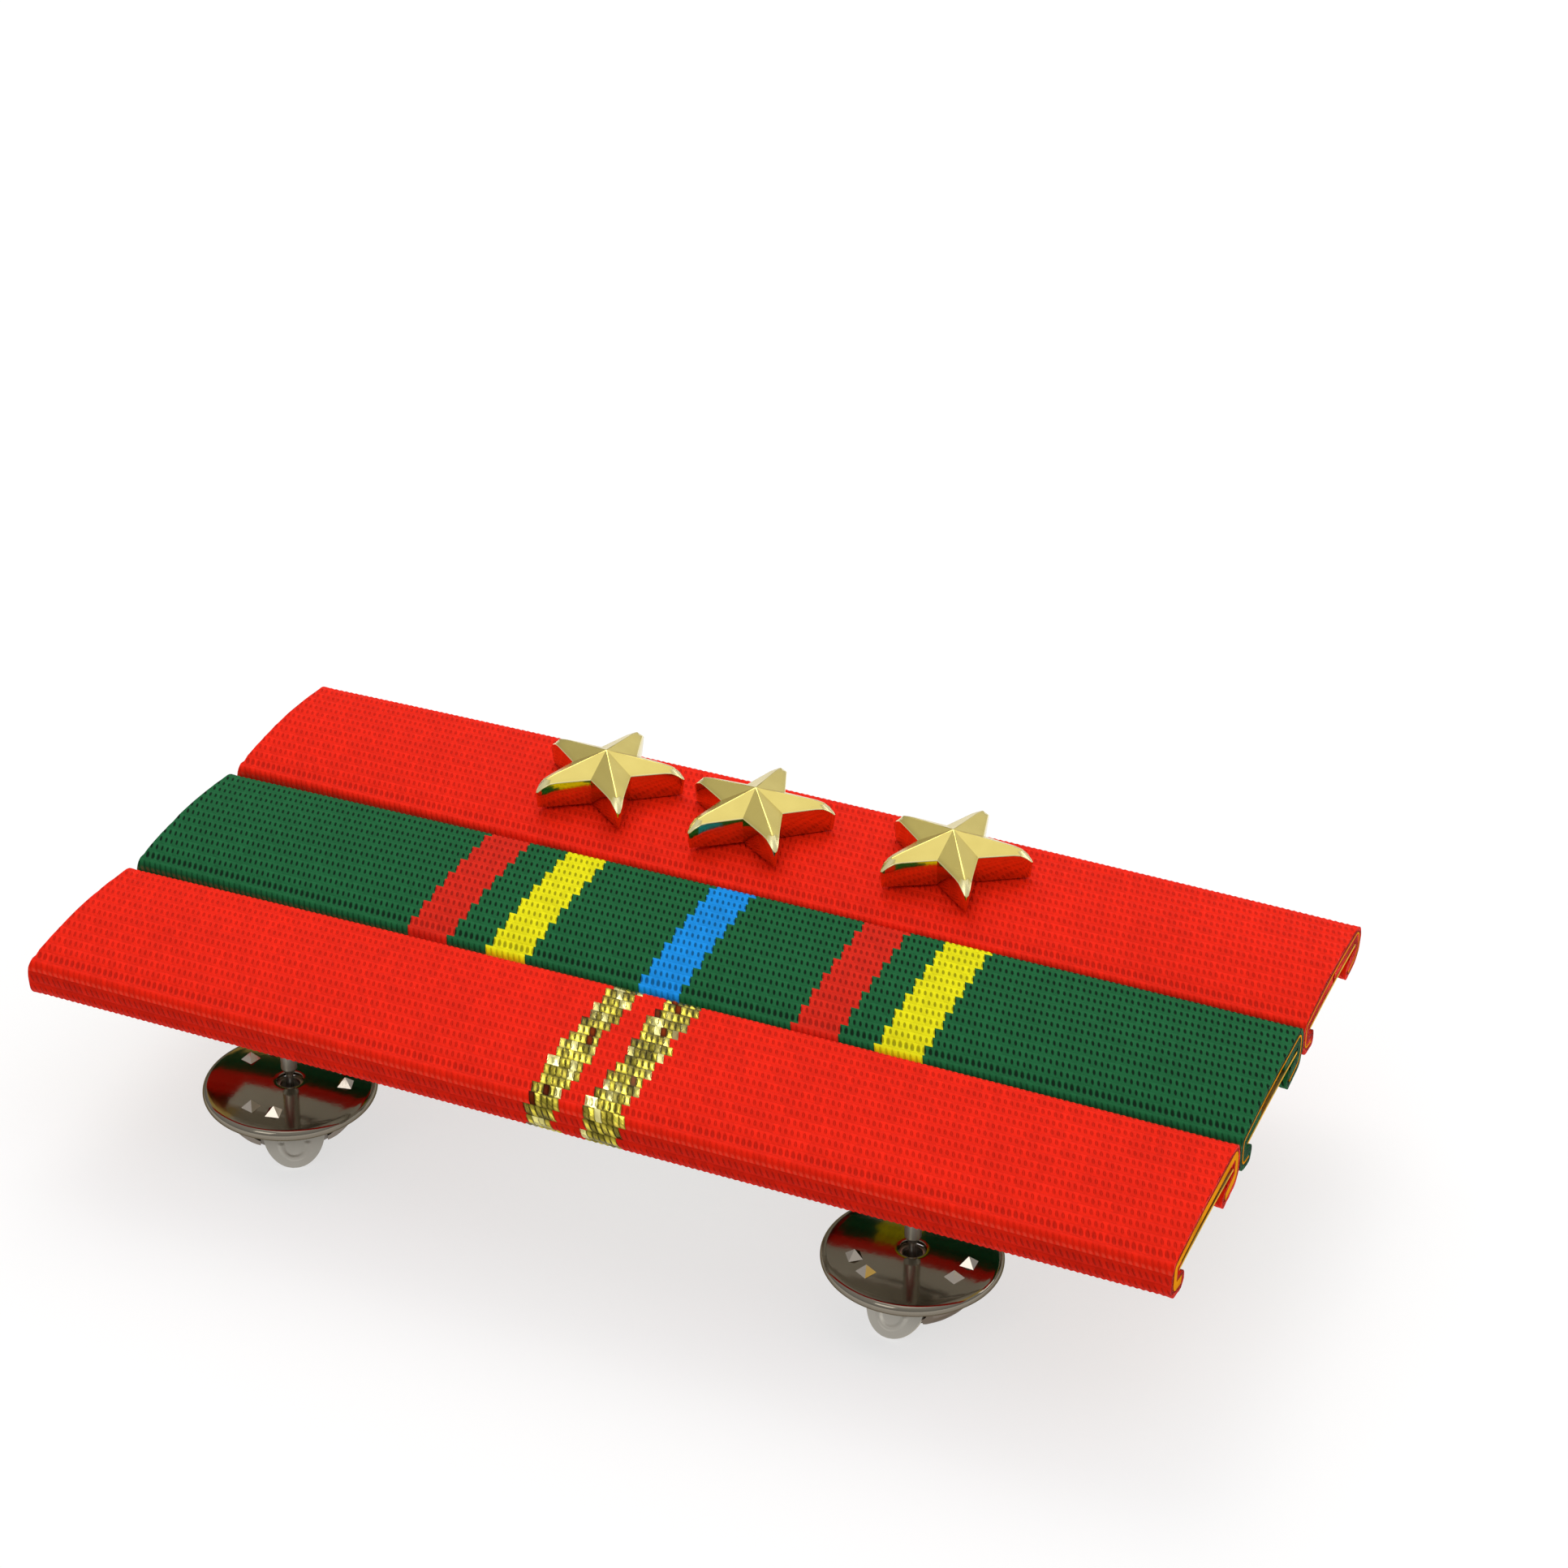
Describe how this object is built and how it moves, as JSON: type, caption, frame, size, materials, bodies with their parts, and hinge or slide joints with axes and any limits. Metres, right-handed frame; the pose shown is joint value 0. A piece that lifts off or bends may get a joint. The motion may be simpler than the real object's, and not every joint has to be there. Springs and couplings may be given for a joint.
{
  "type": "ribbon bar",
  "caption": "Rows of wrapped ribbon on a soldered metal rack, with stars on the face and butterfly clutches on the pins behind.",
  "frame": {"origin": "middle of the bar and its clutches in plan, on the surface that the clutches stand on", "axes": "+X along the rows, +Y from the bottom row to the top row, +Z out of the ribbons' face"},
  "size_m": [0.08, 0.0412, 0.0178],
  "materials": {
    "ribbon_red": "ribbed woven silk-look ribbon, soft sheen",
    "ribbon_green": "ribbed woven silk-look ribbon with stripes, soft sheen",
    "slat_brass": "bright brass sheet",
    "liner_brass": "brass sheet with light tarnish",
    "rack_nickel": "satin nickel plate",
    "star_gold": "satin gold plate with bright tips",
    "clutch_nickel": "bright nickel plate"
  },
  "bodies": {
    "bar": {"ribbon_top": "ribbon_red", "ribbon_middle": "ribbon_green", "ribbon_bottom": "ribbon_red", "slat_top": "slat_brass", "slat_middle": "slat_brass", "slat_bottom": "slat_brass", "liner_top": "liner_brass", "liner_middle": "liner_brass", "liner_bottom": "liner_brass", "rack": "rack_nickel", "star_left": "star_gold", "star_centre": "star_gold", "star_right": "star_gold"},
    "clutch_near_left": {"disc_near_left": "clutch_nickel", "hood_near_left": "clutch_nickel", "spring_near_left": "clutch_nickel"},
    "clutch_near_right": {"disc_near_right": "clutch_nickel", "hood_near_right": "clutch_nickel", "spring_near_right": "clutch_nickel"},
    "clutch_far_left": {"disc_far_left": "clutch_nickel", "hood_far_left": "clutch_nickel", "spring_far_left": "clutch_nickel"},
    "clutch_far_right": {"disc_far_right": "clutch_nickel", "hood_far_right": "clutch_nickel", "spring_far_right": "clutch_nickel"}
  },
  "joints": [
    {"name": "near_left_slide", "type": "slide", "parent": "bar", "child": "clutch_near_left", "axis": [0, 0, -1], "range_m": [-0.002, 0.0022]},
    {"name": "near_right_slide", "type": "slide", "parent": "bar", "child": "clutch_near_right", "axis": [0, 0, -1], "range_m": [-0.002, 0.0022]},
    {"name": "far_left_slide", "type": "slide", "parent": "bar", "child": "clutch_far_left", "axis": [0, 0, -1], "range_m": [-0.002, 0.0022]},
    {"name": "far_right_slide", "type": "slide", "parent": "bar", "child": "clutch_far_right", "axis": [0, 0, -1], "range_m": [-0.002, 0.0022]}
  ]
}
